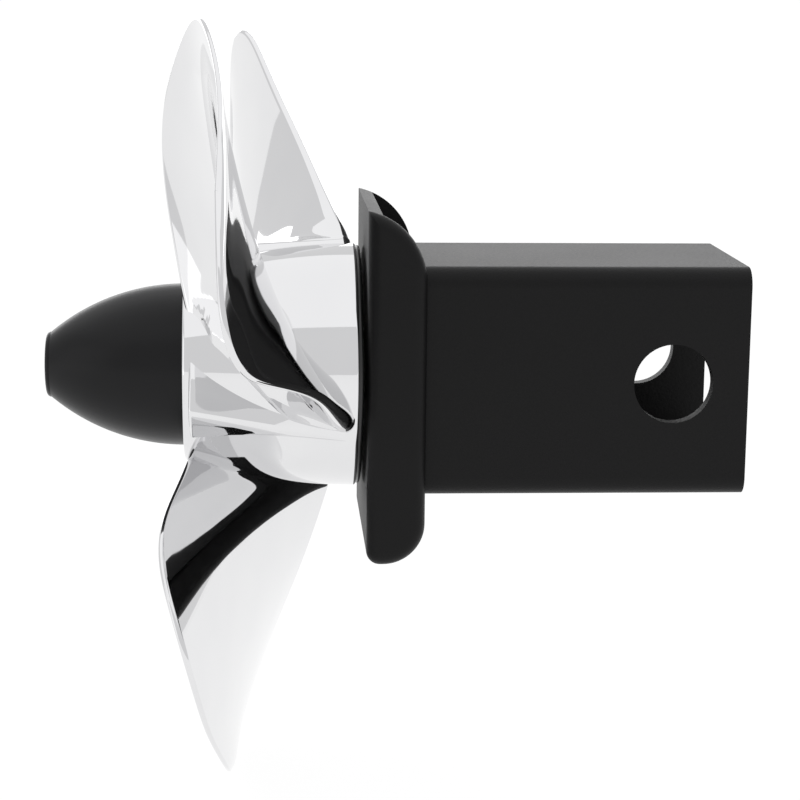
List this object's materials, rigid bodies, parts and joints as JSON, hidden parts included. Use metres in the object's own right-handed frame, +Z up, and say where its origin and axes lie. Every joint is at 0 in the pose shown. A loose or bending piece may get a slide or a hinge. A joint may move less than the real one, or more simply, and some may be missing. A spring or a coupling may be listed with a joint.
{
  "type": "propeller hitch cover",
  "caption": "Square receiver-tube cover with a folded end plate and a free-spinning polished boat-propeller ornament, turning on ball bearings in front of the plate.",
  "frame": {"origin": "centre of the hitch-pin hole, on the axis of the square tube", "axes": "+X along the tube towards its open end, so the propeller is at -X; +Y along the hitch pin; +Z up as the cover is worn"},
  "size_m": [0.1557, 0.1846, 0.1756],
  "materials": {
    "black_powder_coat": "satin black powder coat with a fine grain",
    "polished_chrome": "mirror polished",
    "black_nose": "smooth satin black",
    "black_cover": "black",
    "zinc_steel": "zinc plated",
    "bearing_steel": "ground",
    "spring_steel": "blackened",
    "seal_rubber": "matt",
    "white_nylon": "plain"
  },
  "bodies": {
    "mount": {"receiver_tube": "black_powder_coat", "cover_plate": "black_powder_coat", "weld_top": "black_powder_coat", "weld_bottom": "black_powder_coat", "axle_plate": "black_powder_coat", "head_washer": "zinc_steel", "axle_bolt": "zinc_steel", "rear_spacer": "zinc_steel", "bearing_sleeve": "zinc_steel", "axle_washer": "zinc_steel", "axle_nut": "zinc_steel", "nut_insert": "white_nylon", "rear_bearing_inner_ring": "bearing_steel", "front_bearing_inner_ring": "bearing_steel"},
    "propeller": {"propeller": "polished_chrome", "nose_cone": "black_nose", "nose_seal_ring": "seal_rubber", "hub_rear_cover": "black_cover", "cover_screw_1": "zinc_steel", "cover_screw_2": "zinc_steel", "cover_screw_3": "zinc_steel", "retaining_ring": "spring_steel", "rear_bearing_outer_ring": "bearing_steel", "rear_bearing_shield_rear": "bearing_steel", "rear_bearing_shield_front": "bearing_steel", "front_bearing_outer_ring": "bearing_steel", "front_bearing_shield_rear": "bearing_steel", "front_bearing_shield_front": "bearing_steel"},
    "rear_cage": {"rear_bearing_cage": "bearing_steel"},
    "front_cage": {"front_bearing_cage": "bearing_steel"}
  },
  "joints": [
    {"name": "propeller_spin", "type": "hinge", "parent": "mount", "child": "propeller", "pos_m": [-0.0885, 0, 0], "axis": [1, 0, 0], "continuous": true},
    {"name": "rear_cage_spin", "type": "hinge", "parent": "mount", "child": "rear_cage", "pos_m": [-0.0764, 0, 0], "axis": [1, 0, 0], "continuous": true},
    {"name": "front_cage_spin", "type": "hinge", "parent": "mount", "child": "front_cage", "pos_m": [-0.0954, 0, 0], "axis": [1, 0, 0], "continuous": true}
  ],
  "couplings": [
    {"joint": "rear_cage_spin", "follows": "propeller_spin", "ratio": 0.619},
    {"joint": "front_cage_spin", "follows": "propeller_spin", "ratio": 0.619}
  ]
}
